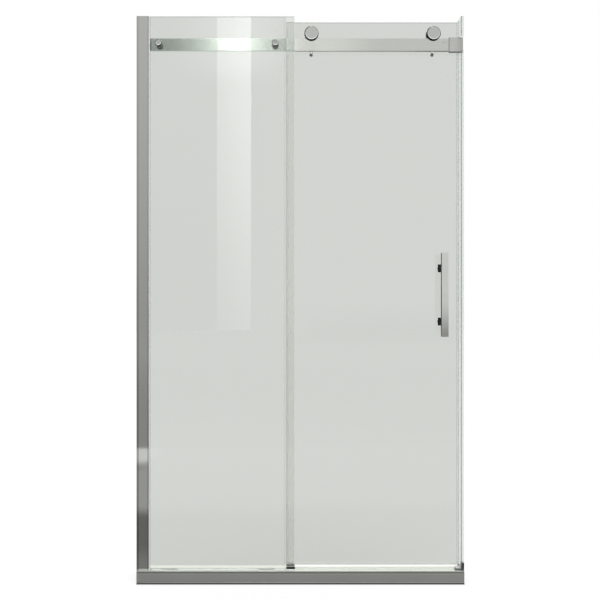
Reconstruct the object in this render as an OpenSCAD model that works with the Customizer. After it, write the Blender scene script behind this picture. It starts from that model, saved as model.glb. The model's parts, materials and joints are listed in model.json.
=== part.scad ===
/* [Overall] */
// Width from wall to wall
open_w = 1154; // [1120:1:1200]
// Height from the floor to the top of the fixed pane
unit_h = 1997; // [1900:1:2100]
// Distance from the top of the fixed pane down to the rail's top edge
rail_drop = 72.5; // [60:0.5:150]

/* [Panes] */
// Thickness of both glass panes
glass_t = 8; // [6:0.5:10]
// Width of the fixed pane
fixed_w = 535; // [500:1:560]
// Distance from the left wall to the fixed pane's hidden edge
fixed_inset = 22; // [20:1:26]
// Width by which the sliding pane laps behind the fixed one
pane_lap = 29; // [20:1:40]
// Distance from the right wall to the sliding pane when closed
strike_gap = 15; // [15:0.5:20]
// Height of the fixed pane above the sill
fixed_foot = 3; // [2.5:0.5:6]
// Height of the sliding pane above the sill
door_foot = 6; // [5:0.5:9]
// Distance from the top of the fixed pane down to the top of the sliding one
door_drop = 8; // [5:1:15]
// Ground chamfer along the glass edges
arris = 0.8; // [0.3:0.1:1.5]

/* [Sill] */
// Height of the sill
sill_h = 46; // [40:1:60]
// Distance from the rail's middle to the sill's front face
sill_front = 38; // [36:1:44]
// Distance from the rail's middle to the sill's back face
sill_back = 37; // [34:1:42]
// Wall thickness of the sill extrusion
sill_wall = 2; // [1.5:0.1:3]
// Height of the foot bead along the front of the sill
toe_h = 7.5; // [6:0.5:12]
// Depth of the foot bead
toe_d = 1; // [0.8:0.1:2.5]
// Gap between each end of the sill and the wall
sill_gap = 2; // [0:0.5:4]
// Thickness of the sill's end caps
cap_t = 1.5; // [1:0.1:3]
// Height of the water bar on the sill
bar_h = 5; // [3:0.5:5.5]

/* [Wall channel] */
// Width of the wall channel's front face
channel_w = 43; // [38:1:55]
// Thickness of the channel's front and back walls
channel_wall = 1.5; // [1.2:0.1:1.8]
// Thickness of the channel's web on the wall
web_t = 2.5; // [2:0.1:4]
// Thickness of the glazing gaskets
gasket_t = 2; // [1.7:0.1:2.1]
// Length by which the gaskets stand out of the channel
gasket_lip = 4; // [1:0.5:6]
// Height of the lowest screw hole in both wall profiles
screw_z = 250; // [150:10:400]
// Distance between neighbouring screw holes
screw_pitch = 500; // [400:10:540]
// Radius of the wall screw holes
screw_r = 2.6; // [2:0.1:3]

/* [Header rail] */
// Height of the rail
rail_h = 44.5; // [36:0.5:46]
// Thickness of the rail
rail_t = 12; // [10:0.5:13]
// Distance from the fixed pane to the rail
spacer_l = 8; // [8:0.5:12]
// Distance from the rail to the sliding pane
door_gap = 9; // [9:0.5:12]
// Wall thickness of the rail brackets
bracket_wall = 3; // [2.5:0.1:4]
// Width of the right rail bracket
bracket_w = 50; // [40:1:55]
// Width of the left rail bracket behind the channel
bracket_left_w = 39; // [34:1:55]
// Distance from the left wall to the first panel bolt
bolt_inset = 77; // [70:1:110]
// Distance from the fixed pane's free edge to the second panel bolt
bolt_edge = 68; // [50:1:90]
// Radius of the panel bolts' caps
bolt_cap_r = 11.5; // [10:0.5:14]

/* [Rollers] */
// Radius of the wheel's tread
tread_r = 17; // [17:0.1:22]
// Height of the wheel's flanges beside the rail
flange_h = 4; // [3:0.5:5]
// Radius of the roller's front cap
roller_cap_r = 25; // [24:0.5:27]
// Distance from the sliding pane's edges to the roller centres
roller_inset = 89; // [80:1:120]
// Outer radius of the ball bearings
bearing_r = 11; // [10.5:0.1:12]
// Width of the ball bearings
bearing_w = 7; // [6:0.5:8]
// Radius of the axles
axle_r = 4; // [3.5:0.1:4.5]
// Throw of the eccentric bushes that set the door's height
throw = 1.5; // [0.5:0.1:2]
// Radius of the pins under the rail
lift_pin_r = 4; // [3.5:0.1:6]
// Radius of the nuts on those pins
lift_nut_r = 6.5; // [6.5:0.5:9]
// Gap between the rail and the pins
lift_gap = 1; // [0.5:0.1:3]
// Distance that the door slides
travel = 455; // [380:5:455]

/* [Handle] */
// Distance from the sliding pane's free edge to the handle's middle
handle_inset = 56; // [50:1:80]
// Height of the handle's middle above the floor
handle_z = 1015; // [900:5:1100]
// Length of the handle bar
handle_l = 295; // [240:5:400]
// Width of the handle bar
handle_w = 25; // [20:1:30]
// Thickness of the handle bar
handle_t = 12; // [10:1:15]
// Distance from the ends of the bar to the middle of each post
post_inset = 52.5; // [25:0.5:60]
// Side of the square posts
post_w = 28; // [24:1:30]
// Distance from the glass to the front of the bar
handle_reach = 60; // [56:1:66]
// Radius of the knobs behind the glass
knob_r = 13; // [10:0.5:15]
// Length of the knobs
knob_l = 8; // [7:0.5:9]

/* [Strike jamb] */
// Width of the jamb's front face
jamb_w = 12; // [11:0.5:12]
// Height of the jamb's plastic foot
foot_h = 25; // [18:1:30]
// Thickness of the foot's plate against the wall
foot_wall = 8; // [4:0.5:9]
// Length of the foot's toe along the sill
foot_toe = 20; // [12:1:30]
// Height of the foot's toe
foot_toe_h = 4; // [3:0.5:8]
// Height of the dam on the foot's toe
dam_h = 5; // [3:0.5:8]

/* [Centre guide] */
// Width of the guide block
guide_w = 30; // [24:1:40]
// Height of the guide block
guide_h = 10.5; // [10:0.5:14]
// Thickness of the guide's outer cheeks
cheek_t = 3; // [2.5:0.5:5]
// Thickness of the liner beside the fixed pane
liner_t = 1.5; // [1:0.1:3]
// Height of the white strip along the foot of the front cheek
strip_h = 3; // [2:0.5:5]

/* [Seals] */
// Wall thickness of the clear seals
seal_t = 1.5; // [1:0.1:2]
// Height of the foot seal's legs beside the fixed pane
seal_leg_h = 4; // [3:0.5:14]
// Length by which the edge seal grips the sliding pane
edge_grip = 8; // [6:0.5:14]
// Reach of the edge seal's fin past the sliding pane
fin_reach = 9; // [7:0.5:12]
// Length of the setting blocks under the fixed pane
block_l = 60; // [40:5:100]
// Distance from the setting blocks to the ends of the foot seal
block_inset = 40; // [20:5:80]

/* [Clearances] */
// Gap between pieces that are pressed, screwed or slipped into each other
fit = 0.05; // [0.02:0.01:0.08]
// Gap between pieces that slide past each other
slide_gap = 0.3; // [0.2:0.05:0.6]
// Thickness of the soft washers on the glass
washer_t = 0.8; // [0.5:0.1:1]

/* [Hidden] */
$fn = 48;
left_x = -open_w / 2;
right_x = open_w / 2;

// The middle of the whole depth lies at y = 0, and the rail's middle at rail_y.
front_reach = handle_reach - door_gap - rail_t / 2;
rail_y = (front_reach - sill_back) / 2;
rail_y0 = rail_y - rail_t / 2;
rail_y1 = rail_y + rail_t / 2;
fixed_y1 = rail_y0 - spacer_l;
fixed_y0 = fixed_y1 - glass_t;
door_y0 = rail_y1 + door_gap;
door_y1 = door_y0 + glass_t;
door_mid_y = (door_y0 + door_y1) / 2;
fixed_mid_y = (fixed_y0 + fixed_y1) / 2;

// The panes
fixed_x0 = left_x + fixed_inset;
fixed_x1 = fixed_x0 + fixed_w;
door_x0 = fixed_x1 - pane_lap;
door_x1 = right_x - strike_gap;
fixed_z0 = sill_h + fixed_foot;
door_z0 = sill_h + door_foot;
door_z1 = unit_h - door_drop;

// The rail and what it carries
rail_top = unit_h - rail_drop;
rail_bottom = rail_top - rail_h;
rail_mid_z = (rail_top + rail_bottom) / 2;
rail_end_gap = 2;
rail_x0 = left_x + bracket_wall + rail_end_gap;
rail_x1 = right_x - bracket_wall - rail_end_gap;
bolt_xs = [left_x + bolt_inset, fixed_x1 - bolt_edge];
bolt_r = 4;
roller_xs = [door_x0 + roller_inset, door_x1 - roller_inset];
roller_z = rail_top + tread_r + slide_gap;
lift_z = rail_bottom - lift_gap - lift_pin_r;
stem_r = 6;
lift_hole_r = axle_r + 1;
lift_shoulder_r = lift_hole_r + 0.8;
handle_x = door_x1 - handle_inset;
handle_y0 = door_y0 - handle_reach;
post_pitch = handle_l - 2 * post_inset;
post_zs = [handle_z + post_pitch / 2, handle_z - post_pitch / 2];

// The wheel: half widths of its tread and rim
tread_half = rail_t / 2 + slide_gap;
flange_t = 1.9;
rim_half = tread_half + flange_t;
hub_half = bearing_w / 2 + 1.5;
boss_y0 = rail_y + rim_half + 1.1;
boss_y1 = door_y0 - washer_t;
roller_cap_y1 = rail_y - rim_half - 0.5;
roller_cap_y0 = fixed_y1 + 1;
// The bevel around the cap's front
bevel_r = 3;
bevel_y = 1.6;
bush_r = 10;
nut_t = 5;

// The ball bearings
inner_r = axle_r + 2;
outer_ring_r = bearing_r - 2;
ball_pitch_r = (inner_r + outer_ring_r) / 2;
ball_r = 1.95;
ball_n = 7;

// Wall profiles
channel_y0 = fixed_y0 - gasket_t - channel_wall;
channel_y1 = fixed_y1 + gasket_t + channel_wall;
jamb_y1 = door_y1 + 5;
jamb_wall = 1.5;
seal_slot = 3;
top_cap_t = 1.5;
screw_n = 4;
screw_zs = [for (i = [0 : screw_n - 1]) screw_z + i * screw_pitch];

// The centre guide spans the lap of the panes
guide_x1 = fixed_x1 + 1;
guide_x0 = guide_x1 - guide_w;
door_play = 1;
guide_y0 = fixed_y0 - liner_t - cheek_t;
guide_y1 = door_y1 + door_play + cheek_t;
guide_floor = 2;
pad_t = 1;
strip_t = 2;
guide_screw_r = 2;
// The insert for the sliding pane lies behind the screws
insert_y0 = rail_y + 3.5 * guide_screw_r;
guide_screw_xs = [guide_x0 + guide_w * 0.27, guide_x0 + guide_w * 0.73];

// Soft seals are left out around the rail
seal_break = 9;

// Basic forms

// A cylinder along y
module rod_y(r, y0, y1, x = 0, z = 0) {
  translate([x, y0, z]) rotate([-90, 0, 0]) cylinder(r = r, h = y1 - y0);
}

// A ring along y
module ring_y(r_out, r_in, y0, y1, x = 0, z = 0) {
  difference() {
    rod_y(r_out, y0, y1, x, z);
    rod_y(r_in, y0 - 1, y1 + 1, x, z);
  }
}

// A turned piece about an axis along y, from points of radius and y
module turned_y(points, x, z) {
  translate([x, 0, z]) rotate([-90, 0, 0]) rotate_extrude() polygon(points);
}

// A section drawn in y and z, run along x
module along_x(x0, x1) {
  translate([x0, 0, 0]) rotate([90, 0, 90]) linear_extrude(x1 - x0) children();
}

// An outline drawn in x and z, run along y
module along_y(y0, y1) {
  translate([0, y1, 0]) rotate([90, 0, 0]) linear_extrude(y1 - y0) children();
}

// A section drawn in x and y, run upwards
module along_z(z0, z1) {
  translate([0, 0, z0]) linear_extrude(z1 - z0) children();
}

// A rectangle between two corners
module rect(x0, y0, x1, y1) {
  translate([x0, y0]) square([x1 - x0, y1 - y0]);
}

// A rectangle with round corners
module round_rect(x0, y0, x1, y1, r) {
  rect(x0 + r, y0, x1 - r, y1);
  rect(x0, y0 + r, x1, y1 - r);
  for (x = [x0 + r, x1 - r], y = [y0 + r, y1 - r]) translate([x, y]) circle(r);
}

// A rectangle with cut corners
module cut_rect(x0, y0, x1, y1, c) {
  polygon([
    [x0 + c, y0], [x1 - c, y0], [x1, y0 + c], [x1, y1 - c],
    [x1 - c, y1], [x0 + c, y1], [x0, y1 - c], [x0, y0 + c]
  ]);
}

// A block between two corners
module block(a, b) {
  translate(a) cube(b - a);
}

// A glass pane with all of its long edges ground
module pane(x0, x1, y0, y1, z0, z1) {
  intersection() {
    along_x(x0, x1) cut_rect(y0, z0, y1, z1, arris);
    along_z(z0, z1) cut_rect(x0, y0, x1, y1, arris);
  }
}

// Sill

sill_end = right_x - sill_gap;

module sill_outline() {
  f = rail_y - sill_front;
  b = rail_y + sill_back;
  // Depth of the groove under the top edge
  g = 1.5;
  polygon([
    [f - toe_d, 0], [f - toe_d, toe_h - toe_d], [f, toe_h],
    [f, sill_h - 7], [f + g, sill_h - 6.2], [f + g, sill_h - 4.2], [f, sill_h - 3.4],
    [f, sill_h - 1], [f + 1, sill_h],
    [b - 10, sill_h], [b, sill_h - 6], [b, 0]
  ]);
}

// A screw port: a ring with a slit, as extruded beside a web
module screw_port(y, z) {
  translate([y, z]) difference() {
    circle(3.5);
    circle(1.7);
    rect(-0.8, 0, 0.8, 4);
  }
}

// The three hollows of the sill, split by two webs under the panes
function sill_web_ys() = [fixed_y1 + 4, door_y0 - 4];

module sill_hollows() {
  w = sill_wall;
  webs = sill_web_ys();
  rect(rail_y - sill_front + w + 1, w, webs[0] - w / 2, sill_h - w);
  rect(webs[0] + w / 2, w, webs[1] - w / 2, sill_h - w);
  rect(webs[1] + w / 2, w, rail_y + sill_back - 10, sill_h - w);
}

module sill() color("dimgray")
  difference() {
    along_x(cap_t - sill_end, sill_end - cap_t) {
      difference() {
        sill_outline();
        sill_hollows();
      }
      for (y = sill_web_ys()) screw_port(y, sill_h / 2);
    }
    // Pilot holes for the guide's screws
    for (x = guide_screw_xs) translate([x, rail_y, sill_h - sill_wall - 1])
      cylinder(r = guide_screw_r + fit, h = sill_wall + 2);
  }

// Each cap is a plate with a plug in the middle hollow
module sill_end_caps() color("dimgray") {
  webs = sill_web_ys();
  plug_in = sill_wall / 2 + 4;
  for (s = [-1, 1]) {
    outer = s * sill_end;
    inner = s * (sill_end - cap_t);
    tip = s * (sill_end - cap_t - 8);
    along_x(min(outer, inner), max(outer, inner)) sill_outline();
    along_x(min(inner, tip), max(inner, tip))
      rect(webs[0] + plug_in, sill_wall + fit, webs[1] - plug_in, sill_h - sill_wall - fit);
  }
}

module water_bar() color("silver") {
  half = 4;
  y = fixed_mid_y;
  along_x(guide_x1 + slide_gap, right_x - jamb_w - foot_toe - slide_gap)
    polygon([
      [y - half, sill_h], [y - half, sill_h + bar_h - 2], [y - half + 1.5, sill_h + bar_h],
      [y + half - 1.5, sill_h + bar_h], [y + half, sill_h + bar_h - 2], [y + half, sill_h]
    ]);
}

// Wall channel

module wall_channel() color("silver")
  difference() {
    along_z(sill_h, unit_h) {
      difference() {
        cut_rect(left_x, channel_y0, left_x + channel_w, channel_y1, 0.4);
        rect(left_x + web_t, channel_y0 + channel_wall,
          left_x + channel_w + 1, channel_y1 - channel_wall);
      }
      // Two ribs stop the pane
      for (y = [channel_y0 + channel_wall, channel_y1 - channel_wall - gasket_t])
        rect(fixed_x0 - 3.5, y - 0.2, fixed_x0 - 2, y + gasket_t + 0.2);
    }
    for (z = screw_zs) translate([left_x - 1, fixed_mid_y, z])
      rotate([0, 90, 0]) cylinder(r = screw_r, h = web_t + 2);
  }

module channel_plug() color("dimgray")
  along_z(unit_h - 12, unit_h)
    rect(left_x + web_t + fit, channel_y0 + channel_wall + fit,
      fixed_x0 - 4, channel_y1 - channel_wall - fit);

// A wedge gasket on each side of the fixed pane, with a round lip outside the channel
gasket_x1 = left_x + channel_w + gasket_lip;

module glazing_gaskets() color("whitesmoke") {
  round_x = gasket_x1 - gasket_t / 2;
  along_z(sill_h, unit_h)
    for (y = [fixed_y0 - gasket_t, fixed_y1]) {
      rect(fixed_x0 - 1, y + fit, round_x, y + gasket_t - fit);
      translate([round_x, y + gasket_t / 2]) circle(gasket_t / 2 - fit);
    }
}

// Fixed pane

module fixed_pane() color("lightcyan", 0.4)
  difference() {
    pane(fixed_x0, fixed_x1, fixed_y0, fixed_y1, fixed_z0, unit_h);
    for (x = bolt_xs) rod_y(bolt_r * 2, fixed_y0 - 1, fixed_y1 + 1, x, rail_mid_z);
  }

module fixed_pane_foot_seal() color("whitesmoke") {
  lip = 1.2;
  along_x(gasket_x1 + slide_gap, guide_x0 - 1) {
    rect(fixed_y0 - lip, sill_h, fixed_y1 + lip, sill_h + seal_t);
    rect(fixed_y0 - lip, sill_h, fixed_y0 - fit, sill_h + seal_leg_h);
    rect(fixed_y1 + fit, sill_h, fixed_y1 + lip, sill_h + seal_leg_h);
  }
}

// The pane stands on these two, inside the foot seal
module setting_blocks() color("whitesmoke")
  for (x = [gasket_x1 + block_inset, guide_x0 - block_inset - block_l])
    block([x, fixed_y0 + 0.5, sill_h + seal_t], [x + block_l, fixed_y1 - 0.5, fixed_z0]);

// Header rail

module header_rail() color("silver")
  difference() {
    along_x(rail_x0, rail_x1) cut_rect(rail_y0, rail_bottom, rail_y1, rail_top, 0.6);
    for (x = bolt_xs) rod_y(bolt_r, rail_y0 - 1, rail_y1 + 1, x, rail_mid_z);
    for (side = [-1, 1], dx = [-1, 1])
      rod_y(stop_screw_r, rail_y0 - 1, rail_y1 + 1, stop_x(side) + dx * stop_screw_dx, stop_screw_z);
  }

module panel_bolts() color("gainsboro") {
  head_y1 = fixed_y0 - washer_t;
  for (x = bolt_xs) turned_y([
      [0, head_y1 - 3.5], [7, head_y1 - 3.5], [7, head_y1], [bolt_r - fit, head_y1],
      [bolt_r - fit, rail_y1 - 2], [bolt_r - 1, rail_y1 - 1], [0, rail_y1 - 1]
    ], x, rail_mid_z);
}

module panel_bolt_caps() color("silver") {
  back = fixed_y0 - washer_t;
  front = back - 6.5;
  for (x = bolt_xs) turned_y([
      [0, front], [bolt_cap_r - 2, front], [bolt_cap_r, front + 1.1], [bolt_cap_r, back],
      [7 + fit, back], [7 + fit, back - 3.5 - fit], [0, back - 3.5 - fit]
    ], x, rail_mid_z);
}

module panel_spacers() color("silver")
  for (x = bolt_xs)
    ring_y(10, bolt_r, fixed_y1 + washer_t, rail_y0, x, rail_mid_z);

module panel_washers() color("whitesmoke")
  for (x = bolt_xs) {
    ring_y(bolt_cap_r - 0.5, bolt_r, fixed_y0 - washer_t, fixed_y0, x, rail_mid_z);
    ring_y(9.5, bolt_r, fixed_y1, fixed_y1 + washer_t, x, rail_mid_z);
  }

module panel_bushes() color("whitesmoke")
  for (x = bolt_xs)
    ring_y(bolt_r * 2 - fit, bolt_r, fixed_y0, fixed_y1, x, rail_mid_z);

// A cup over the rail's end: side is 1 on the right wall and -1 on the left one
set_screw_r = 2.5;

function set_screw_x(side, w) = side * (right_x - w / 2 - 5);

module rail_bracket(side, w) {
  outer = side * right_x;
  inner = side * (right_x - w);
  floor_x = side * (right_x - bracket_wall);
  y0 = rail_y0 - bracket_wall;
  y1 = rail_y1 + bracket_wall;
  z0 = rail_bottom - bracket_wall;
  z1 = rail_top + bracket_wall;
  // The mouth is bevelled, the end on the wall is square
  mouth = 1.2;
  past = outer + side * mouth;
  difference() {
    intersection() {
      along_x(min(outer, inner), max(outer, inner)) round_rect(y0, z0, y1, z1, 1);
      along_z(z0, z1) cut_rect(min(past, inner), y0, max(past, inner), y1, mouth);
    }
    along_x(min(floor_x, inner - side), max(floor_x, inner - side))
      rect(rail_y0 - fit, rail_bottom - fit, rail_y1 + fit, rail_top + fit);
    for (z = bracket_hole_zs) translate([outer + side, rail_y, z])
      rotate([0, -90 * side, 0]) cylinder(r = screw_r, h = bracket_wall + 2);
    rod_y(set_screw_r, rail_y1, y1 + 1, set_screw_x(side, w), rail_mid_z);
  }
}

bracket_hole_zs = [rail_mid_z - 12, rail_mid_z + 12];

module rail_bracket_left() color("silver") rail_bracket(-1, bracket_left_w);

module rail_bracket_right() color("silver") rail_bracket(1, bracket_w);

module bracket_set_screws() color("dimgray")
  for (s = [[-1, bracket_left_w], [1, bracket_w]]) {
    x = set_screw_x(s[0], s[1]);
    difference() {
      rod_y(set_screw_r - fit, rail_y1, rail_y1 + bracket_wall - 0.5, x, rail_mid_z);
      translate([x, rail_y1 + bracket_wall, rail_mid_z])
        rotate([90, 0, 0]) cylinder(r = 1.4, h = 2.5, $fn = 6);
    }
  }

// The stops sit behind the rail, below its top, and meet the roller bosses
stop_w = 18;
stop_h = 30;
stop_t = door_gap - 1.3;
bumper_w = 22;
stop_near = 8;
stop_screw_r = 2;
stop_screw_dx = 5;
stop_screw_z = rail_top - stop_h / 2;

// The roller centre at the end of its travel: left one open, right one closed
function stop_axis_x(side) = side < 0 ? roller_xs[0] - travel : roller_xs[1];

// Middle of the stop block, past the bumper
function stop_x(side) = stop_axis_x(side) + side * (stop_near + bumper_w + stop_w / 2);

module rail_stop(side) {
  x = stop_x(side);
  difference() {
    along_y(rail_y1, rail_y1 + stop_t)
      round_rect(x - stop_w / 2, rail_top - stop_h, x + stop_w / 2, rail_top, 1.5);
    for (dx = [-1, 1]) {
      rod_y(stop_screw_r, rail_y1 - 1, rail_y1 + stop_t + 1, x + dx * stop_screw_dx, stop_screw_z);
      rod_y(3.6, rail_y1 + stop_t - 3, rail_y1 + stop_t + 1, x + dx * stop_screw_dx, stop_screw_z);
    }
  }
}

module rail_stop_left() color("silver") rail_stop(-1);

module rail_stop_right() color("silver") rail_stop(1);

module stop_bumpers() color("dimgray")
  for (side = [-1, 1]) {
    near = stop_axis_x(side) + side * stop_near;
    far = near + side * bumper_w;
    difference() {
      along_y(rail_y1, rail_y1 + stop_t)
        rect(min(near, far), rail_top - stop_h + 4, max(near, far), rail_top);
      rod_y(roller_cap_r + slide_gap, rail_y1 - 1, door_y0, stop_axis_x(side), roller_z);
    }
  }

module stop_screws() color("dimgray")
  for (side = [-1, 1], dx = [-1, 1]) {
    x = stop_x(side) + dx * stop_screw_dx;
    head_y = rail_y1 + stop_t - 3;
    difference() {
      turned_y([
          [0, rail_y0 + 2], [stop_screw_r - fit, rail_y0 + 2], [stop_screw_r - fit, head_y],
          [3.4, head_y], [3.4, head_y + 2.2], [3, head_y + 2.6], [0, head_y + 2.6]
        ], x, stop_screw_z);
      translate([x, head_y + 3, stop_screw_z]) rotate([90, 0, 0]) cylinder(r = 1.6, h = 2, $fn = 6);
    }
  }

// Strike jamb: a flange at the front, a web on the wall and a seal box behind the door

module jamb_section() {
  box_y0 = rail_y1 + bracket_wall + 1.5;
  difference() {
    union() {
      rect(right_x - 2, channel_y0, right_x, jamb_y1);
      cut_rect(right_x - jamb_w, channel_y0, right_x, channel_y0 + jamb_wall, 0.3);
      difference() {
        rect(right_x - jamb_w, box_y0, right_x, jamb_y1);
        rect(right_x - jamb_w + jamb_wall, box_y0 + jamb_wall, right_x - 2, jamb_y1 - jamb_wall);
      }
    }
    rect(right_x - jamb_w - 1, door_mid_y - seal_slot / 2,
      right_x - jamb_w + 2, door_mid_y + seal_slot / 2);
  }
}

module strike_jamb() color("whitesmoke")
  difference() {
    along_z(sill_h + foot_toe_h, unit_h - top_cap_t) jamb_section();
    block([right_x - jamb_w - 1, channel_y0 - 1, rail_bottom - bracket_wall - fit],
      [right_x + 1, rail_y1 + bracket_wall + fit, rail_top + bracket_wall + fit]);
    // Room for the foot's wall plate
    block([right_x - foot_wall - fit, channel_y0 - 1, sill_h],
      [right_x + 1, toe_y1 + fit, sill_h + foot_h]);
    for (z = screw_zs) translate([right_x + 1, rail_y, z])
      rotate([0, -90, 0]) cylinder(r = screw_r, h = 4);
  }

module jamb_seal() color("whitesmoke") {
  face = right_x - jamb_w;
  tip = door_x1 + slide_gap;
  m = door_mid_y;
  h = seal_slot / 2;
  along_z(sill_h + foot_toe_h, unit_h - top_cap_t - 2)
    polygon([
      [face, m - 4.5], [tip + 0.8, m - 4], [tip, m - 2], [tip, m + 2], [tip + 0.8, m + 4],
      [face, m + 4.5], [face, m + h - fit], [face + jamb_wall + fit, m + h - fit],
      [face + jamb_wall + fit, m + h + 1], [face + jamb_wall + 1.5, m + h + 0.5],
      [face + jamb_wall + 2.5, m + 0.8], [face + jamb_wall + 2.5, m - 0.8],
      [face + jamb_wall + 1.5, m - h - 0.5], [face + jamb_wall + fit, m - h - 1],
      [face + jamb_wall + fit, m - h + fit], [face, m - h + fit]
    ]);
}

// The foot closes the corner: a wall plate, a base under the jamb and a toe that meets the water bar
toe_y0 = fixed_y0;
toe_y1 = fixed_y1 + 8;

module jamb_foot() color("black") {
  face = right_x - jamb_w;
  z0 = sill_h;
  toe_z1 = sill_h + foot_toe_h;
  round_top = 3;
  along_y(channel_y0, toe_y1) {
    rect(right_x - foot_wall, z0, right_x, z0 + foot_h - round_top);
    rect(right_x - foot_wall + round_top, z0, right_x, z0 + foot_h);
    translate([right_x - foot_wall + round_top, z0 + foot_h - round_top]) circle(round_top);
  }
  along_y(channel_y0, jamb_y1) rect(face, z0, right_x, toe_z1);
  along_y(toe_y0, toe_y1) polygon([
      [face - foot_toe, z0], [face + 1, z0], [face + 1, toe_z1],
      [face - foot_toe + 2, toe_z1], [face - foot_toe, toe_z1 - 2]
    ]);
}

// A low block on the toe keeps the water inside
module corner_dam() color("gray") {
  face = right_x - jamb_w;
  z0 = sill_h + foot_toe_h;
  along_y(toe_y0 + 1, toe_y1 - 1) polygon([
      [face - foot_toe + 3, z0], [face - fit, z0], [face - fit, z0 + dam_h],
      [face - foot_toe + 4, z0 + dam_h], [face - foot_toe + 3, z0 + dam_h - 1]
    ]);
}

module jamb_cap() color("whitesmoke")
  along_z(unit_h - top_cap_t, unit_h)
    cut_rect(right_x - jamb_w, channel_y0, right_x, jamb_y1, 0.5);

// Centre guide: holds the fixed pane's corner and guides the sliding pane

module centre_guide() color("dimgray") {
  top = sill_h + guide_h;
  difference() {
    along_x(guide_x0, guide_x1) cut_rect(guide_y0, sill_h, guide_y1, top, 0.8);
    block([guide_x0 - 1, fixed_y0 - liner_t, fixed_z0 - pad_t],
      [fixed_x1 + fit, fixed_y1 + liner_t, top + 1]);
    block([guide_x0 - 1, insert_y0, sill_h + guide_floor], [guide_x1 + 1, guide_y1 + 1, top + 1]);
    block([guide_x0 - 1, guide_y0 - 1, sill_h - 1],
      [guide_x1 + 1, guide_y0 + strip_t, sill_h + strip_h]);
    for (x = guide_screw_xs) {
      translate([x, rail_y, sill_h - 1]) cylinder(r = guide_screw_r + fit, h = guide_h + 2);
      translate([x, rail_y, top - 3.5]) cylinder(r = 2 * guide_screw_r + fit, h = 5);
    }
  }
}

// White sliding parts: a liner around the fixed pane, a trough for the sliding one and a strip in front
module guide_pads() color("whitesmoke") {
  top = sill_h + guide_h;
  difference() {
    block([guide_x0, fixed_y0 - liner_t, fixed_z0 - pad_t], [fixed_x1, fixed_y1 + liner_t, top]);
    block([guide_x0 - 1, fixed_y0 - fit, fixed_z0], [fixed_x1 + 1, fixed_y1 + fit, top + 1]);
  }
  difference() {
    block([guide_x0, insert_y0, sill_h + guide_floor], [guide_x1, guide_y1, top]);
    block([guide_x0 - 1, door_y0 - door_play, sill_h + guide_floor + pad_t],
      [guide_x1 + 1, door_y1 + door_play, top + 1]);
  }
  block([guide_x0, guide_y0, sill_h], [guide_x1, guide_y0 + strip_t, sill_h + strip_h]);
}

module guide_screws() color("gainsboro")
  for (x = guide_screw_xs) difference() {
    union() {
      translate([x, rail_y, sill_h - 12]) cylinder(r = guide_screw_r, h = guide_h + 12 - 3.4);
      translate([x, rail_y, sill_h + guide_h - 3.5]) cylinder(r = 2 * guide_screw_r, h = 2.5);
    }
    translate([x, rail_y, sill_h + guide_h - 2.6]) cylinder(r = 1.5, h = 3, $fn = 6);
  }

// Sliding door

module sliding_pane() color("lightcyan", 0.4)
  difference() {
    pane(door_x0, door_x1, door_y0, door_y1, door_z0, door_z1);
    for (x = roller_xs) {
      rod_y(bush_r, door_y0 - 1, door_y1 + 1, x, roller_z - throw);
      rod_y(lift_hole_r, door_y0 - 1, door_y1 + 1, x, lift_z);
    }
    for (z = post_zs) rod_y(stem_r, door_y0 - 1, door_y1 + 1, handle_x, z);
  }

// A clear channel on the pane's left edge with a fin towards the fixed pane
module edge_seal() color("whitesmoke") {
  t = seal_t;
  tip_y = fixed_y1 + slide_gap;
  tip_x = door_x0 - fin_reach;
  // Bottom and top of each of the two lengths
  lengths = [
    [sill_h + guide_h + 2, rail_bottom - seal_break],
    [rail_top + bracket_wall + 3, door_z1 - 2]
  ];
  for (z = lengths) along_z(z[0], z[1]) {
    difference() {
      rect(door_x0 - t, door_y0 - t, door_x0 + edge_grip, door_y1 + t);
      rect(door_x0, door_y0 - fit, door_x0 + edge_grip + 1, door_y1 + fit);
    }
    polygon([
      [door_x0, door_y0 - t], [door_x0 - t, door_y0],
      [tip_x - 0.5, tip_y + 1], [tip_x, tip_y], [tip_x + 0.7, tip_y + 0.5]
    ]);
  }
}

// Roller carriage

// Stepped axle: a stub in the cap, the bearing seat, a shoulder and a stem through the glass
module roller_axle(x) {
  shoulder_r = inner_r - 0.5;
  turned_y([
    [0, roller_cap_y0 + 1.6], [axle_r - 0.6, roller_cap_y0 + 1.6], [axle_r, roller_cap_y0 + 2.2],
    [axle_r, rail_y + bearing_w / 2], [shoulder_r, rail_y + bearing_w / 2],
    [shoulder_r, boss_y0], [stem_r, boss_y0], [stem_r, door_y1 + washer_t + nut_t],
    [stem_r - 1, door_y1 + washer_t + nut_t + 1], [2, door_y1 + washer_t + nut_t + 1],
    [2, door_y1 + washer_t + nut_t - 2], [0, door_y1 + washer_t + nut_t - 2]
  ], x, roller_z);
}

module roller_axle_left() color("gainsboro") roller_axle(roller_xs[0]);

module roller_axle_right() color("gainsboro") roller_axle(roller_xs[1]);

// The front cap screws onto the axle's stub and holds the bearing
module roller_cap(x) {
  front = roller_cap_y0;
  turned_y([
    [0, front], [roller_cap_r - bevel_r, front], [roller_cap_r, front + bevel_y],
    [roller_cap_r, roller_cap_y1 - 0.5],
    [roller_cap_r - 0.5, roller_cap_y1], [inner_r - 0.5, roller_cap_y1],
    [inner_r - 0.5, rail_y - bearing_w / 2], [axle_r + fit, rail_y - bearing_w / 2],
    [axle_r + fit, front + 1.5], [0, front + 1.5]
  ], x, roller_z);
}

module roller_cap_left() color("silver") roller_cap(roller_xs[0]);

module roller_cap_right() color("silver") roller_cap(roller_xs[1]);

// A thick washer carries the pane on the front, with a chamfer behind the rail
module roller_boss(x) {
  turned_y([
    [stem_r + fit, boss_y0], [roller_cap_r - 2, boss_y0], [roller_cap_r, boss_y0 + 2],
    [roller_cap_r, boss_y1], [stem_r + fit, boss_y1]
  ], x, roller_z);
}

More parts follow.
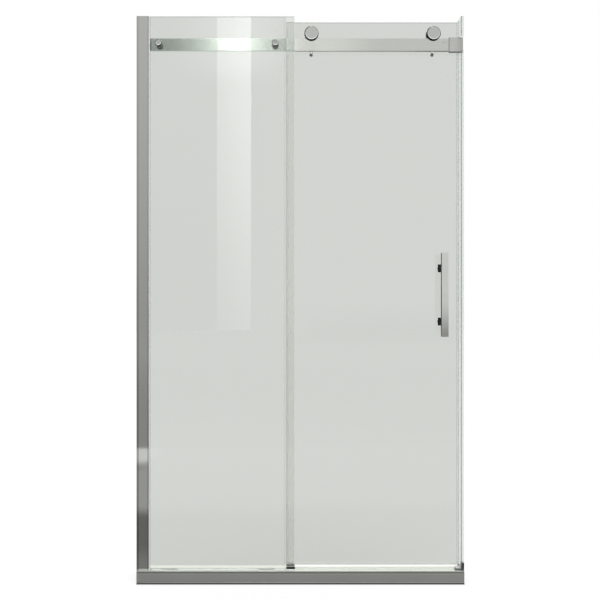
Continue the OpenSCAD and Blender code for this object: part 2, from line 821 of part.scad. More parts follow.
module roller_boss_left() color("silver") roller_boss(roller_xs[0]);

module roller_boss_right() color("silver") roller_boss(roller_xs[1]);

// The clamping disc on the inside, with two holes for a pin spanner
module roller_disc(x) {
  y0 = door_y1 + washer_t;
  difference() {
    turned_y([
      [stem_r + fit, y0], [roller_cap_r - 3, y0], [roller_cap_r - 3, y0 + nut_t - 1.5],
      [roller_cap_r - 4.5, y0 + nut_t], [stem_r + fit, y0 + nut_t]
    ], x, roller_z);
    for (s = [-1, 1]) rod_y(2, y0 + nut_t - 3, y0 + nut_t + 1, x + s * 14, roller_z);
  }
}

module roller_disc_left() color("silver") roller_disc(roller_xs[0]);

module roller_disc_right() color("silver") roller_disc(roller_xs[1]);

// Turning these in the glass lifts or lowers the door
module eccentric_bushes() color("whitesmoke")
  for (x = roller_xs) difference() {
    rod_y(bush_r - fit, door_y0, door_y1, x, roller_z - throw);
    rod_y(stem_r + fit, door_y0 - 1, door_y1 + 1, x, roller_z);
  }

module roller_washers() color("whitesmoke")
  for (x = roller_xs) {
    ring_y(roller_cap_r - 1, stem_r + fit, boss_y1, door_y0, x, roller_z);
    ring_y(roller_cap_r - 4, stem_r + fit, door_y1, door_y1 + washer_t, x, roller_z);
  }

// The inner ring has a groove for the balls
module bearing_inner(x)
  translate([x, rail_y, roller_z]) rotate([-90, 0, 0]) rotate_extrude() difference() {
    rect(axle_r + fit, -bearing_w / 2, inner_r, bearing_w / 2);
    translate([ball_pitch_r, 0]) circle(ball_r + fit);
  }

module bearing_inner_left() color("gainsboro") bearing_inner(roller_xs[0]);

module bearing_inner_right() color("gainsboro") bearing_inner(roller_xs[1]);

// The outer ring carries two thin shields that run close to the inner ring
module bearing_outer(x) {
  shield_in = bearing_w / 2 - 0.9;
  shield_t = 0.5;
  translate([x, rail_y, roller_z]) rotate([-90, 0, 0]) rotate_extrude() {
    difference() {
      rect(outer_ring_r, -bearing_w / 2, bearing_r - fit, bearing_w / 2);
      translate([ball_pitch_r, 0]) circle(ball_r + fit);
    }
    for (s = [-1, 1])
      rect(inner_r + fit, s * shield_in - shield_t / 2, outer_ring_r + 0.2, s * shield_in + shield_t / 2);
  }
}

module bearing_outer_left() color("gainsboro") bearing_outer(roller_xs[0]);

module bearing_outer_right() color("gainsboro") bearing_outer(roller_xs[1]);

// Seven balls in one cage
module bearing_balls(x)
  translate([x, rail_y, roller_z]) rotate([-90, 0, 0]) {
    difference() {
      cylinder(r = ball_pitch_r + 0.5, h = 2, center = true);
      cylinder(r = ball_pitch_r - 0.5, h = 3, center = true);
    }
    for (i = [0 : ball_n - 1]) rotate([0, 0, i * 360 / ball_n])
      translate([ball_pitch_r, 0, 0]) sphere(ball_r);
  }

module bearing_balls_left() color("gainsboro") bearing_balls(roller_xs[0]);

module bearing_balls_right() color("gainsboro") bearing_balls(roller_xs[1]);

// The grooved wheel: rim, dished web and a hub with a lip behind the bearing
module wheel(x) {
  r = tread_r;
  flange_r = r + flange_h;
  rim_r = r - 3;
  hub_r = bearing_r + 2;
  lip_r = bearing_r - 1.2;
  turned_y([
    [bearing_r, rail_y - hub_half], [hub_r, rail_y - hub_half], [rim_r, rail_y - rim_half],
    [flange_r - 1, rail_y - rim_half], [flange_r, rail_y - rim_half + 1],
    [flange_r, rail_y - rim_half + 1.2], [r, rail_y - tread_half],
    [r, rail_y + tread_half], [flange_r, rail_y + rim_half - 1.2],
    [flange_r, rail_y + rim_half - 1], [flange_r - 1, rail_y + rim_half],
    [rim_r, rail_y + rim_half], [hub_r, rail_y + hub_half],
    [lip_r, rail_y + hub_half], [lip_r, rail_y + bearing_w / 2], [bearing_r, rail_y + bearing_w / 2]
  ], x, roller_z);
}

module wheel_left() color("dimgray") wheel(roller_xs[0]);

module wheel_right() color("dimgray") wheel(roller_xs[1]);

// Pins that pass under the rail, so that the door can't be lifted off

module lift_pins() color("silver") {
  tip = rail_y - 1;
  shoulder = door_y0 - 4;
  for (x = roller_xs) turned_y([
      [0, tip], [lift_pin_r - 0.8, tip], [lift_pin_r, tip + 0.8], [lift_pin_r, shoulder],
      [lift_shoulder_r, shoulder], [lift_shoulder_r, door_y0 - washer_t],
      [axle_r, door_y0 - washer_t], [axle_r, door_y1 + washer_t + 3], [0, door_y1 + washer_t + 3]
    ], x, lift_z);
}

module lift_pin_nuts() color("silver") {
  y0 = door_y1 + washer_t;
  for (x = roller_xs) turned_y([
      [axle_r + fit, y0], [lift_nut_r, y0], [lift_nut_r, y0 + 2.5], [lift_nut_r - 1.5, y0 + 4],
      [0, y0 + 4], [0, y0 + 3 + fit], [axle_r + fit, y0 + 3 + fit]
    ], x, lift_z);
}

module lift_pin_washers() color("whitesmoke")
  for (x = roller_xs) {
    ring_y(lift_shoulder_r, axle_r + fit, door_y0 - washer_t, door_y0, x, lift_z);
    ring_y(lift_hole_r - fit, axle_r + fit, door_y0, door_y1, x, lift_z);
    ring_y(lift_nut_r - 0.2, axle_r + fit, door_y1, door_y1 + washer_t, x, lift_z);
  }

// Handle

module handle_bar() color("silver")
  intersection() {
    along_z(handle_z - handle_l / 2, handle_z + handle_l / 2)
      round_rect(handle_x - handle_w / 2, handle_y0, handle_x + handle_w / 2, handle_y0 + handle_t, 1.5);
    along_y(handle_y0, handle_y0 + handle_t)
      round_rect(handle_x - handle_w / 2, handle_z - handle_l / 2,
        handle_x + handle_w / 2, handle_z + handle_l / 2, 1);
  }

handle_screw_r = 3;
post_bore_l = 20;

module handle_post(z) {
  y0 = handle_y0 + handle_t;
  y1 = door_y0 - washer_t;
  // The post narrows behind the bar
  neck = 4;
  difference() {
    union() {
      along_y(y1 - 4, y1) round_rect(handle_x - post_w / 2, z - post_w / 2,
        handle_x + post_w / 2, z + post_w / 2, 1.5);
      along_y(y0, y1) round_rect(handle_x - post_w / 2 + neck, z - post_w / 2 + neck,
        handle_x + post_w / 2 - neck, z + post_w / 2 - neck, 1.5);
    }
    rod_y(handle_screw_r, y1 - post_bore_l, y1 + 1, handle_x, z);
  }
}

module handle_post_upper() color("silver") handle_post(post_zs[0]);

module handle_post_lower() color("silver") handle_post(post_zs[1]);

module handle_screws() color("gainsboro")
  for (z = post_zs)
    rod_y(handle_screw_r - fit, door_y0 - washer_t - post_bore_l + 2, door_y1 + washer_t + 5, handle_x, z);

module handle_knobs() color("silver") {
  y0 = door_y1 + washer_t;
  for (z = post_zs) turned_y([
      [handle_screw_r, y0], [knob_r, y0], [knob_r, y0 + knob_l - 1.5], [knob_r - 1.5, y0 + knob_l],
      [0, y0 + knob_l], [0, y0 + 5 + fit], [handle_screw_r, y0 + 5 + fit]
    ], handle_x, z);
}

module handle_washers() color("whitesmoke")
  for (z = post_zs) {
    difference() {
      along_y(door_y0 - washer_t, door_y0) round_rect(handle_x - post_w / 2 + 0.5, z - post_w / 2 + 0.5,
        handle_x + post_w / 2 - 0.5, z + post_w / 2 - 0.5, 1);
      rod_y(handle_screw_r, door_y0 - 2, door_y0 + 1, handle_x, z);
    }
    ring_y(stem_r - fit, handle_screw_r, door_y0, door_y1, handle_x, z);
    ring_y(knob_r - 1, handle_screw_r, door_y1, door_y1 + washer_t, handle_x, z);
  }

sill();
sill_end_caps();
water_bar();
wall_channel();
channel_plug();
glazing_gaskets();
fixed_pane();
fixed_pane_foot_seal();
setting_blocks();
header_rail();
panel_bolts();
panel_bolt_caps();
panel_spacers();
panel_washers();
panel_bushes();
rail_bracket_left();
rail_bracket_right();
bracket_set_screws();
rail_stop_left();
rail_stop_right();
stop_bumpers();
stop_screws();
strike_jamb();
jamb_seal();
jamb_foot();
corner_dam();
jamb_cap();
centre_guide();
guide_pads();
guide_screws();
sliding_pane();
edge_seal();
roller_axle_left();
roller_axle_right();
roller_cap_left();
roller_cap_right();
roller_boss_left();
roller_boss_right();
roller_disc_left();
roller_disc_right();
eccentric_bushes();
roller_washers();
bearing_inner_left();
bearing_inner_right();
bearing_outer_left();
bearing_outer_right();
bearing_balls_left();
bearing_balls_right();
wheel_left();
wheel_right();
lift_pins();
lift_pin_nuts();
lift_pin_washers();
handle_bar();
handle_post_upper();
handle_post_lower();
handle_screws();
handle_knobs();
handle_washers();
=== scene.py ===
"""Sliding shower door: finishes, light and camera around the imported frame."""
import json
import math

import bpy
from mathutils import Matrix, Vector


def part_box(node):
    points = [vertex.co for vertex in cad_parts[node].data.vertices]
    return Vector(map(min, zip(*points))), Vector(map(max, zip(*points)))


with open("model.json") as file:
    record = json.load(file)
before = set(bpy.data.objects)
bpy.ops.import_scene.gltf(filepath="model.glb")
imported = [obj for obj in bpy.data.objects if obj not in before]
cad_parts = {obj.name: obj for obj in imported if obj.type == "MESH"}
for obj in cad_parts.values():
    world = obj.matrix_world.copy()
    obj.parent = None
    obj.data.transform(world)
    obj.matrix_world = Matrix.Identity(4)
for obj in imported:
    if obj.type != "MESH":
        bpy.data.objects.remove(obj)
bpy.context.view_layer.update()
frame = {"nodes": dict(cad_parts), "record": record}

scene = bpy.context.scene

# Shader maths

# A Mix node's own sockets for colours
MIX_FACTOR, MIX_FIRST, MIX_SECOND, MIX_RESULT = 0, 6, 7, 2


class Value:
    """A number or vector that varies over a surface: the output of a shader node."""

    def __init__(self, finish, socket):
        self.finish = finish
        self.socket = socket

    def maths(self, operation, a, b=0.0):
        return self.finish.node("ShaderNodeMath", {"operation": operation}, {0: a, 1: b})

    def __add__(self, other):
        return self.maths("ADD", self, other)

    __radd__ = __add__

    def __sub__(self, other):
        return self.maths("SUBTRACT", self, other)

    def __rsub__(self, other):
        return self.maths("SUBTRACT", other, self)

    def __mul__(self, other):
        return self.maths("MULTIPLY", self, other)

    __rmul__ = __mul__

    def __truediv__(self, other):
        return self.maths("DIVIDE", self, other)

    def __rtruediv__(self, other):
        return self.maths("DIVIDE", other, self)

    def __abs__(self):
        return self.maths("ABSOLUTE", self)

    def over(self, other):
        """1 where this is above other, 0 elsewhere."""
        return self.maths("GREATER_THAN", self, other)

    def most(self, other):
        """The larger of this and other."""
        return self.maths("MAXIMUM", self, other)

    def between(self, low, high, start=0.0, end=1.0):
        """Goes smoothly from start at low to end at high; low may be the larger of the two."""
        return self.finish.node(
            "ShaderNodeMapRange", {"interpolation_type": "SMOOTHSTEP"},
            {"Value": self, "From Min": low, "From Max": high, "To Min": start, "To Max": end})

    def within(self, low, high, soft):
        """1 from low to high and 0 outside, with soft edges."""
        return self.between(low - soft, low + soft) * self.between(high + soft, high - soft)


class Finish:
    """A node material or world, built by expressions."""

    def __init__(self, owner):
        owner.use_nodes = True
        self.owner = owner
        self.tree = owner.node_tree
        self.tree.nodes.clear()

    def node(self, kind, settings=None, values=None, output=0):
        """Adds a node: its settings first, then the values or links of its sockets."""
        made = self.tree.nodes.new(kind)
        for name, setting in (settings or {}).items():
            setattr(made, name, setting)
        for name, value in (values or {}).items():
            if isinstance(value, Value):
                self.tree.links.new(value.socket, made.inputs[name])
            else:
                made.inputs[name].default_value = value
        return Value(self, made.outputs[output]) if made.outputs else None

    def place(self):
        """The point on the piece, in metres in the part's own frame."""
        return self.node("ShaderNodeTexCoord", output="Object")

    def axis(self, vector, name):
        return self.node("ShaderNodeSeparateXYZ", {}, {0: vector}, output=name)

    def facing(self, name):
        """How far the surface faces along an axis of the part's own frame."""
        return self.axis(self.node("ShaderNodeTexCoord", output="Normal"), name)

    def scaled(self, vector, x, y, z):
        return self.node("ShaderNodeVectorMath", {"operation": "MULTIPLY"}, {0: vector, 1: (x, y, z)})

    def noise(self, vector, scale, detail=2.0, roughness=0.5):
        return self.node("ShaderNodeTexNoise", {},
                         {"Vector": vector, "Scale": scale, "Detail": detail, "Roughness": roughness})

    def wipe_marks(self):
        """The faint cloudy marks that a cloth leaves on polished metal."""
        return self.noise(self.place(), scale=14.0, detail=4.0, roughness=0.65).between(0.45, 0.75)

    def shadow_ray(self):
        return self.node("ShaderNodeLightPath", output="Is Shadow Ray")

    def mirrored(self):
        """1 for what is seen in a mirror, also through glass, and 0 for all other light."""
        bounced = self.node("ShaderNodeLightPath", output="Glossy Depth").over(0.5)
        return bounced * (1.0 - self.scattered())

    def scattered(self):
        """1 for light that falls on a matt surface."""
        return self.node("ShaderNodeLightPath", output="Diffuse Depth").over(0.5)

    def tint(self, factor, a, b):
        """The colour a where factor is 0 and b where it is 1."""
        return self.node("ShaderNodeMix", {"data_type": "RGBA"},
                         {MIX_FACTOR: factor, MIX_FIRST: a, MIX_SECOND: b}, output=MIX_RESULT)

    def plated(self, level):
        """The grey of the metal parts at a level that varies."""
        return self.tint(level, BLACK, plate(1.0))

    def bump(self, height, strength, distance):
        return self.node("ShaderNodeBump", {},
                         {"Height": height, "Strength": strength, "Distance": distance})

    def mixed(self, factor, a, b):
        """The surface a where factor is 0 and b where it is 1."""
        return self.node("ShaderNodeMixShader", {}, {0: factor, 1: a, 2: b})

    def shaded(self, level):
        """A plain grey at a level from 0 to 1 that varies."""
        return self.tint(level, BLACK, WHITE)

    def clear(self, colour):
        return self.node("ShaderNodeBsdfTransparent", {}, {"Color": colour})

    def principled(self, **values):
        named = {name.replace("_", " "): value for name, value in values.items()}
        return self.node("ShaderNodeBsdfPrincipled", {}, named)

    def show(self, surface):
        kind = "World" if isinstance(self.owner, bpy.types.World) else "Material"
        self.node(f"ShaderNodeOutput{kind}", {}, {"Surface": surface})
        return self.owner


def material(name):
    return Finish(bpy.data.materials.new(name))


def grey(level, warm=0.0):
    """A linear grey, a little warm or cool."""
    return (level * (1 + warm), level, level * (1 - warm), 1.0)


def plate(level):
    """The grey of the metal parts, a touch warm and green."""
    return (level * 0.985, level, level * 0.94, 1.0)


BLACK = grey(0.0)
WHITE = grey(1.0)

# Places on the door that more than one finish refers to, in metres
FIXED_PANE_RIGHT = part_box("fixed_pane")[1].x
SLIDING_PANE_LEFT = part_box("sliding_pane")[0].x
SLIDING_PANE_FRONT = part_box("sliding_pane")[0].y


# Metals

def drawn_metal(name, along, shades, roughness, streak=0.03, bump=0.03):
    """Extruded metal with faint die lines along one axis.

    shades gives its darker and its lighter colour; streak is how much the roughness varies."""
    m = material(name)
    place = m.place()
    across_lines, along_lines = 700.0, 1.5
    stretch = [across_lines] * 3
    stretch["xyz".index(along)] = along_lines
    lines = m.noise(m.scaled(place, *stretch), scale=1.0, detail=3.0, roughness=0.6)
    clouds = m.noise(place, scale=3.0, detail=3.0, roughness=0.55)
    shade = (lines * 0.6 + clouds * 0.4).between(0.35, 0.65)
    dark, light = shades(m, place)
    rough = clouds.between(0.3, 0.7, roughness - streak, roughness + streak) + (lines - 0.5) * streak
    return m.show(m.principled(
        Base_Color=m.tint(shade, dark, light), Metallic=1.0, Roughness=rough,
        Normal=m.bump(lines, strength=bump, distance=0.0002)))


def sill_metal():
    """Painted light and shade: a painted highlight on top with painted shade under the door, painted
    highlight and shade lines along its front, and painted shade in its groove and at its foot.
    """
    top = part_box("sill")[1].z
    groove_shade = (top - 0.0065, top - 0.0032)
    highlight_under_groove = (top - 0.0135, top - 0.0102)
    shade_over_bead = (0.0078, 0.0112)
    bead_highlight = (0.0046, 0.0076)
    foot_shade = 0.0045

    def shades(m, place):
        height = m.axis(place, "Z")
        # Painted highlight and painted shade lines along the front
        lines = (height.within(*highlight_under_groove, 0.0006) * 0.08 + height.within(*bead_highlight, 0.0005) * 0.08
                 - height.within(*shade_over_bead, 0.0006) * 0.08)
        top_highlight = height.between(top - 0.0032, top - 0.0024)
        door_shade = (m.axis(place, "X").between(FIXED_PANE_RIGHT, FIXED_PANE_RIGHT + 0.004)
                      * m.axis(place, "Y").between(SLIDING_PANE_FRONT - 0.007, SLIDING_PANE_FRONT - 0.003))
        # Painted shade in the groove, and a painted highlight on top with painted shade under the door
        level = 0.68 + lines - height.within(*groove_shade, 0.0004) * 0.20 + top_highlight * (0.26 - door_shade * 0.24)
        # Painted shade at the foot
        level = level * (1.0 - height.between(foot_shade + 0.0003, foot_shade - 0.0003) * 0.70)
        return m.plated(level - 0.02), m.plated(level + 0.02)
    return drawn_metal("satin anodised sill", "x", shades, roughness=0.30)


def channel_metal():
    """Painted shade on its corners, most of all low down."""
    low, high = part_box("wall_channel")
    left_corner = low.x + 0.0085
    right_corner = high.x - 0.0056

    def shades(m, place):
        x = m.axis(place, "X")
        # Painted shade on the corners
        corner_shade = (x.between(left_corner + 0.0010, left_corner - 0.0010) * 0.28
                   + x.between(right_corner - 0.0006, right_corner + 0.0006) * 0.20)
        level = 0.62 * (1.0 - corner_shade * m.axis(place, "Z").between(1.8, 0.5, 0.5, 1.4))
        return m.plated(level - 0.012), m.plated(level + 0.012)
    return drawn_metal("polished anodised channel", "z", shades, roughness=0.04, streak=0.005, bump=0.004)


def rail_metal():
    """Painted reflection: darker left of the left roller and on the right, and lighter and cool behind the
    fixed pane.
    """
    by_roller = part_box("wheel_left")[1].x - 0.006
    dim_reflection_from, dim_reflection_to = 0.12, 0.30
    pane_reflection_dark, pane_reflection_light = (0.82, 0.87, 0.845, 1.0), (0.85, 0.90, 0.875, 1.0)

    def shades(m, place):
        x = m.axis(place, "X")
        behind_pane = x.between(FIXED_PANE_RIGHT + 0.005, FIXED_PANE_RIGHT - 0.005)
        # Painted reflection: darker on the right and just left of the left roller
        level = 0.79 - x.between(dim_reflection_from, dim_reflection_to) * 0.125
        level = level - x.between(by_roller + 0.025, by_roller - 0.025) * 0.06
        # Painted reflection: lighter and cool behind the fixed pane
        return (m.tint(behind_pane, m.plated(level - 0.012), pane_reflection_dark),
                m.tint(behind_pane, m.plated(level + 0.012), pane_reflection_light))
    return drawn_metal("satin polished rail", "x", shades, roughness=0.11, streak=0.01, bump=0.006)


def polished(name, colour, dark, roughness):
    """Plated metal: nearly a mirror, with faint wipe marks and fine scratches."""
    m = material(name)
    marks = m.wipe_marks()
    scratches = m.noise(m.scaled(m.place(), 300.0, 300.0, 20.0), scale=1.0, detail=2.0, roughness=0.7)
    rough = marks * 0.03 + scratches * 0.02 + (roughness - 0.02)
    return m.show(m.principled(
        Base_Color=m.tint(marks, colour, dark), Metallic=1.0, Roughness=rough,
        Normal=m.bump(scratches, strength=0.01, distance=0.0001)))


def chrome():
    return polished("bright chrome", plate(0.74), plate(0.71), roughness=0.07)


def smoked_chrome():
    return polished("smoked chrome", plate(0.10), plate(0.085), roughness=0.12)


def screw_steel():
    return polished("plain stainless screws", grey(0.60, 0.02), grey(0.52, 0.02), roughness=0.24)


def bearing_steel():
    return polished("ground bearing steel", grey(0.66, 0.01), grey(0.58, 0.01), roughness=0.16)


def bracket_metal():
    """Satin chrome, with painted shade a little darker towards the wall on the right."""
    low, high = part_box("rail_bracket_right")
    m = material("satin chrome brackets")
    marks = m.wipe_marks()
    x = m.axis(m.place(), "X")
    # Painted shade towards the wall
    level = 0.62 - marks * 0.03 - x.between(low.x + 0.018, high.x - 0.003) * 0.11
    return m.show(m.principled(Base_Color=m.plated(level), Metallic=1.0, Roughness=marks * 0.03 + 0.09))


def capped(name, nodes, bevel, face, highlight):
    """Two turned caps: a satin face with a painted highlight crescent low on it, and a bevelled rim with
    painted light above and painted shade underneath.

    face and shine are the levels of the left and the right cap, and bevel is the rim's width."""
    lows, highs = zip(*(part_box(node) for node in nodes))
    left, right = min(low.x for low in lows), max(high.x for high in highs)
    bottom, top = min(low.z for low in lows), max(high.z for high in highs)
    radius = (top - bottom) / 2
    # The painted highlight crescent is what a disc a little smaller and higher than the flat face leaves
    # free
    highlight_lift, highlight_radius = 0.0025, radius - bevel - 0.0007
    m = material(name)
    place = m.place()
    from_middle = m.axis(place, "X") - (left + right) / 2
    across = abs(from_middle) - ((right - left) / 2 - radius)
    rise = m.axis(place, "Z") - ((bottom + top) / 2 + highlight_lift)
    # Painted highlight: a bright crescent low on the face
    highlight_crescent = (across * across + rise * rise).over(highlight_radius ** 2)
    on_right = from_middle.over(0.0)
    marks = m.wipe_marks()
    # The right cap's face can be painted darker than the left one: painted shade
    satin = m.tint(marks * 0.06, m.tint(on_right, plate(face[0]), plate(face[1])), BLACK)
    flat = m.tint(highlight_crescent, satin, m.tint(on_right, grey(highlight[0]), grey(highlight[1])))
    # Painted light on the rim above and painted shade underneath
    rim = abs(m.facing("Y")).between(0.95, 0.90)
    shaded_underside = m.facing("Z").between(0.20, -0.10)
    return m.show(m.principled(
        Base_Color=m.tint(rim, flat, m.tint(shaded_underside, grey(0.80), grey(0.03))), Metallic=1.0,
        Roughness=marks * 0.03 + 0.08))


def cap_metal():
    both = ("roller_cap_left", "roller_cap_right")
    return capped("satin chrome caps", both, bevel=0.003, face=(0.60, 0.60), highlight=(0.97, 0.97))


def bolt_cap_metal():
    both = ("panel_bolt_caps",)
    # The right cap's face and painted highlight are darker: painted shade
    return capped("satin chrome bolt caps", both, bevel=0.002, face=(0.60, 0.30), highlight=(0.99, 0.56))


# Glass and clear plastic

def glass():
    """Clear toughened glass: faint roller waves, pale green ground edges and a painted lighter strip at the
    lap, where the panes overlap.
    """
    body = (0.645, 0.665, 0.632, 1.0)
    lap_lightened = (0.765, 0.778, 0.75, 1.0)
    edge_body = (0.88, 0.96, 0.92, 1.0)
    m = material("clear toughened glass")
    place = m.place()
    edge = 1.0 - abs(m.facing("Y")).over(0.9)
    lap = m.axis(place, "X").within(SLIDING_PANE_LEFT, FIXED_PANE_RIGHT, 0.0007)
    waves = m.noise(m.scaled(place, 1.0, 1.0, 5.0), scale=1.4, detail=1.0)
    pane = m.principled(
        # Painted light: lighter where the panes overlap
        Base_Color=m.tint(edge, m.tint(lap, body, lap_lightened), edge_body),
        Roughness=edge * 0.1, IOR=1.5, Transmission_Weight=1.0,
        Normal=m.bump(waves, strength=0.12, distance=0.0008))
    ground = m.principled(Base_Color=(0.95, 0.98, 0.965, 1.0), Roughness=0.55)
    shadow = m.clear((0.86, 0.88, 0.86, 1.0))
    return m.show(m.mixed(m.shadow_ray(), m.mixed(edge, pane, ground), shadow))


def soft_clear(name, body, veil, through, end_shade=None):
    """Soft clear plastic: veil is the share of its milky body, through the tint of the rest.

    The last argument gives where it stands on end and is painted darker, a painted shade."""
    m = material(name)
    place = m.place()
    cloud = m.noise(m.scaled(place, 60.0, 60.0, 8.0), scale=1.0)
    milk = m.principled(
        Base_Color=m.tint(cloud, grey(body - 0.03), grey(body + 0.03)),
        Roughness=cloud.between(0.3, 0.7, 0.16, 0.3), IOR=1.5)
    rest = m.clear(through)
    if end_shade:
        # Painted shade where it stands on end
        rest = m.mixed(end_shade(m, place), rest, m.clear(grey(0.50)))
    return m.show(m.mixed(cloud.between(0.2, 0.8, 1 - veil * 0.9, 1 - veil * 1.1), milk, rest))


def clear_vinyl():
    return soft_clear("clear vinyl", body=0.88, veil=0.07, through=(0.98, 0.99, 0.985, 1.0))


def jamb_vinyl():
    """Painted shade on its front flange, where it stands on end next to the wall."""
    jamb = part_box("strike_jamb")[0]
    flange_back = jamb.y + 0.006

    def end_shade(m, place):
        beside_wall = m.axis(place, "X").within(jamb.x + 0.0012, jamb.x + 0.0034, 0.0003)
        return beside_wall * m.axis(place, "Y").between(flange_back + 0.0005, flange_back - 0.0005)
    through = (0.92, 0.93, 0.92, 1.0)
    return soft_clear("milky clear vinyl", body=0.88, veil=0.06, through=through, end_shade=end_shade)


# Plastics and rubber

# Scale of the noise that makes a fine spark texture
FINE_GRAIN = 1500.0


def sparked(m, grain):
    """The fine spark texture of a mould."""
    return m.bump(m.noise(m.place(), scale=grain, roughness=0.6), strength=0.15, distance=0.0002)


def moulded(name, colour, light, roughness, grain=FINE_GRAIN):
    """Moulded plastic or rubber, a little cloudy."""
    m = material(name)
    cloud = m.noise(m.place(), scale=40.0, detail=3.0)
    return m.show(m.principled(
        Base_Color=m.tint(cloud.between(0.35, 0.7), colour, light),
        Roughness=cloud.between(0.3, 0.7, roughness - 0.06, roughness + 0.06), Normal=sparked(m, grain)))


def milky_vinyl():
    return moulded("white soft vinyl", grey(0.90), grey(0.94), roughness=0.35, grain=700.0)


def black_plastic():
    return moulded("black moulded plastic", grey(0.012), grey(0.022), roughness=0.42)


def grey_plastic():
    return moulded("grey moulded plastic", grey(0.22), grey(0.28), roughness=0.5)


def pale_plastic():
    return moulded("pale grey moulded plastic", grey(0.70), grey(0.78), roughness=0.4)


def wheel_plastic():
    return moulded("turned wheel plastic", grey(0.035), grey(0.05), roughness=0.38)


def bumper_rubber():
    return moulded("bumper rubber", grey(0.014), grey(0.03), roughness=0.75, grain=900.0)


def foot_plastic():
    """Black, with painted light on its upper faces, speckled, and the scuffs next to the wall."""
    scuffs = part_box("jamb_foot")[1].x - 0.0055
    m = material("black plastic with painted top light")
    place = m.place()
    specks = m.noise(place, scale=300.0, detail=3.0).between(0.3, 0.6, 0.8, 1.0)
    top_light = m.facing("Z").between(0.5, 0.9) * specks
    body = m.tint(m.axis(place, "X").between(scuffs + 0.0005, scuffs - 0.0005), grey(0.016), grey(0.09))
    # Painted light on the upper faces
    return m.show(m.principled(
        Base_Color=m.tint(top_light, body, grey(0.58)), Roughness=top_light.between(0.0, 1.0, 0.42, 0.7),
        Normal=sparked(m, FINE_GRAIN)))


FINISHES = {make.__name__: make() for make in (
    sill_metal, channel_metal, rail_metal, chrome, smoked_chrome, screw_steel, bearing_steel, bracket_metal,
    cap_metal, bolt_cap_metal, glass, clear_vinyl, jamb_vinyl, milky_vinyl, black_plastic, grey_plastic,
    pale_plastic, wheel_plastic, bumper_rubber, foot_plastic)}

# Pieces whose finish differs from the rest of their slot
OWN_FINISH = {
    "header_rail": "rail_metal",
    "rail_bracket_left": "bracket_metal", "rail_bracket_right": "bracket_metal",
    "roller_cap_left": "cap_metal", "roller_cap_right": "cap_metal", "lift_pins": "cap_metal",
    "panel_bolt_caps": "bolt_cap_metal",
    "handle_post_upper": "smoked_chrome", "handle_post_lower": "smoked_chrome",
    "strike_jamb": "jamb_vinyl", "jamb_seal": "jamb_vinyl", "jamb_cap": "jamb_vinyl",
    "jamb_foot": "foot_plastic", "corner_dam": "pale_plastic", "guide_pads": "milky_vinyl"}


def dress_nodes():
    """Gives every piece of the frame its own finish, or else that of its slot."""
    for part in frame["record"]["subparts"]:
        name = part["node"]
        for held in frame["nodes"][name].material_slots:
            held.material = FINISHES[OWN_FINISH.get(name, part["material_slot"])]


# Light

# In the functions below, across and up are the slopes of the way that a mirror looks: x and z over depth.
# The sides of the bright upright band that glass and metal mirror, across
BAND_LEFT, BAND_RIGHT = -0.0805, -0.0377


def room_in_front(across, up):
    """Darker on the left and low down on the right, dim overhead and dark far to the left."""
    left_side = up.between(-0.2, 0.5, 0.40, 0.70)
    right_side = 0.76
    low_right = across.between(-0.06, 0.12) * up.between(0.012, -0.045)
    room = left_side + across.between(-0.12, 0.02) * (right_side - left_side)
    overhead = up.between(0.8, 1.6, 1.0, 0.5)
    far_left = across.between(-0.9, -0.5, 0.12, 1.0)
    return room * (1.0 - low_right * 0.6) * overhead * far_left


def bright_band(across, up):
    """Dimmer low down, with a soft step inside and a glow round its top, both cut off on the right."""
    profile = (across.between(BAND_LEFT - 0.001, BAND_LEFT + 0.001, 0.0, 0.62)
               + across.between(BAND_LEFT, BAND_RIGHT, 0.0, 0.38))
    band = profile * (1.0 - across.over(BAND_RIGHT)) * up.between(-0.12, 0.36, 0.12, 1.0) * up.over(-0.17)
    round_top = abs(across + 0.055).between(0.095, 0.0) * up.between(0.27, 0.32)
    glow = round_top * across.between(0.03, -0.01)
    return band * 2.8 + glow * 1.15


def room_behind(across, up):
    """Pale, brighter high up, and dark low down, where the sides of the handle look."""
    high_up = up.between(0.20, 0.28)
    low_down = across.between(0.34, 0.26) * up.between(0.14, 0.10)
    return 0.97 + high_up * 0.6 - low_down * 0.93


def studio():
    """White to the camera, through glass and on matt surfaces; in a mirror, a room."""
    sky = bpy.data.worlds.new("studio")
    scene.world = sky
    w = Finish(sky)
    way = w.node("ShaderNodeTexCoord", output="Generated")
    x, y, z = (w.axis(way, name) for name in "XYZ")
    depth = abs(y).most(0.05)
    across = x / depth
    up = z / depth
    in_front = room_in_front(across, up) + bright_band(across, up)
    room = in_front + y.over(0.0) * (room_behind(across, up) - in_front)
    mirror = w.mirrored()
    w.show(w.node("ShaderNodeBackground", {}, {"Color": WHITE, "Strength": 1.0 + mirror * (room - 1.0)}))


def mirrored_floor(ahead, side):
    """How bright the floor looks in a mirror: dark in front of the door, and pale inside it."""
    near = ahead.between(0.2, 0.5, 0.27, 0.19)
    further = ahead.between(0.88, 1.12) * 0.27
    # The pale stripe ends where the dark ground beyond it starts, and shows only on the left
    stripe_end = ahead.between(2.66, 2.72)
    stripe = ahead.between(2.09, 2.30) * 0.42 - stripe_end * 0.42 - ahead.within(1.97, 2.07, 0.03) * 0.09
    distant = (ahead.between(3.0, 14.0) * 0.09 - stripe_end * 0.10
               - ahead.between(15.0, 24.0) * side.between(0.0, 2.0) * 0.18)
    front = near + further + stripe * side.between(-0.86, -0.93) + distant
    pale = side.between(-0.5, 0.4, 0.90, 0.72) - side.between(1.2, 1.6) * 0.38
    inside = 0.05 + ahead.between(-9.0, -7.0) * pale
    return front + ahead.between(-0.1, -0.3) * (inside - front)


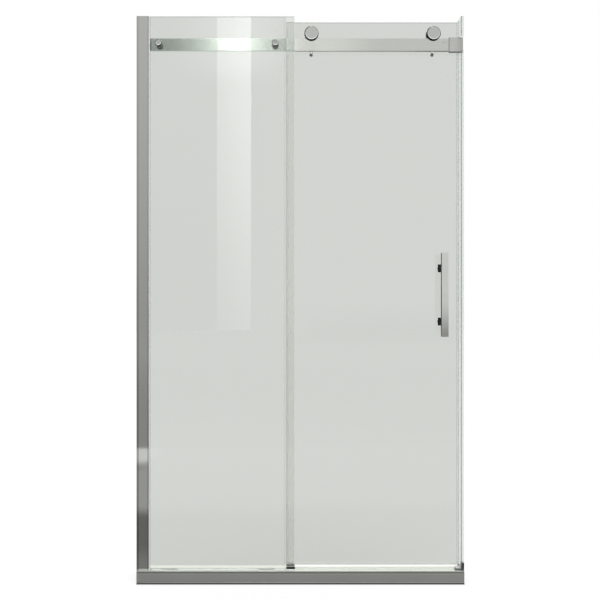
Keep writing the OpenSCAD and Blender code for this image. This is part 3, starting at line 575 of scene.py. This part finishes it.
def floor():
    """A pale floor that reads white, keeps the shadow and has a contact shadow in front of the sill."""
    reach = 30.0
    half_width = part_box("sill")[1].x
    front = -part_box("sill")[0].y
    m = material("pale studio floor")
    place = m.place()
    ahead = m.axis(place, "Y") * -1.0
    side = m.axis(place, "X")
    grain = m.noise(place, scale=30.0, detail=3.0)
    contact = (ahead.within(front - 0.005, front + 0.007, 0.003)
               * abs(side).between(half_width + 0.0045, half_width + 0.0005))
    own_light = (1.0 - m.scattered()) * (0.76 - contact * 0.45)
    ground = m.principled(
        Base_Color=m.tint(grain, grey(0.25), grey(0.27)), Diffuse_Roughness=0.5, Specular_IOR_Level=0.0,
        Emission_Color=m.shaded(own_light), Emission_Strength=1.0)
    image = m.node("ShaderNodeEmission", {}, {"Color": m.shaded(mirrored_floor(ahead, side))})
    m.show(m.mixed(m.mirrored(), ground, image))
    mesh = bpy.data.meshes.new("floor")
    mesh.from_pydata([(-reach, -reach, 0), (reach, -reach, 0), (reach, reach, 0), (-reach, reach, 0)],
                     [], [(0, 1, 2, 3)])
    mesh.materials.append(m.owner)
    ground_piece = bpy.data.objects.new("floor", mesh)
    scene.collection.objects.link(ground_piece)


def softbox(name, place, size, radiance):
    """A soft square lamp of a given brightness, aimed at the door and out of the camera's sight."""
    aim = Vector((0, 0, 1))
    lamp = bpy.data.lights.new(name, "AREA")
    lamp.size = size
    lamp.energy = radiance * math.pi * size * size
    holder = bpy.data.objects.new(name, lamp)
    holder.location = place
    holder.rotation_euler = (aim - Vector(place)).to_track_quat("-Z", "Y").to_euler()
    holder.visible_camera = False
    holder.visible_transmission = False
    holder.visible_glossy = False
    scene.collection.objects.link(holder)


# Camera

# The photograph's width and height, where its middle line of sight lies, and its focal length, in pixels
PHOTO_SIDE = 600
SIGHT_X, SIGHT_Y = 281, 307
FOCAL = 795
# At eye height, square on to the door and a little left of its middle, in metres
EYE = (-0.068, -2.8215, 0.972)


def camera():
    lens = bpy.data.cameras.new("camera")
    lens.sensor_width = 36.0
    lens.lens = lens.sensor_width * FOCAL / PHOTO_SIDE
    lens.shift_x = (PHOTO_SIDE / 2 - SIGHT_X) / PHOTO_SIDE
    lens.shift_y = (SIGHT_Y - PHOTO_SIDE / 2) / PHOTO_SIDE
    lens.clip_end = 200.0
    holder = bpy.data.objects.new("camera", lens)
    holder.location = EYE
    holder.rotation_euler = (math.radians(90), 0, 0)
    scene.collection.objects.link(holder)
    scene.camera = holder


dress_nodes()
camera()
studio()
floor()
softbox("key", place=(3.2, -3.0, 3.6), size=2.2, radiance=3.0)
softbox("back", place=(-1.5, 2.5, 3.4), size=2.0, radiance=1.6)
scene.view_settings.view_transform = "Standard"
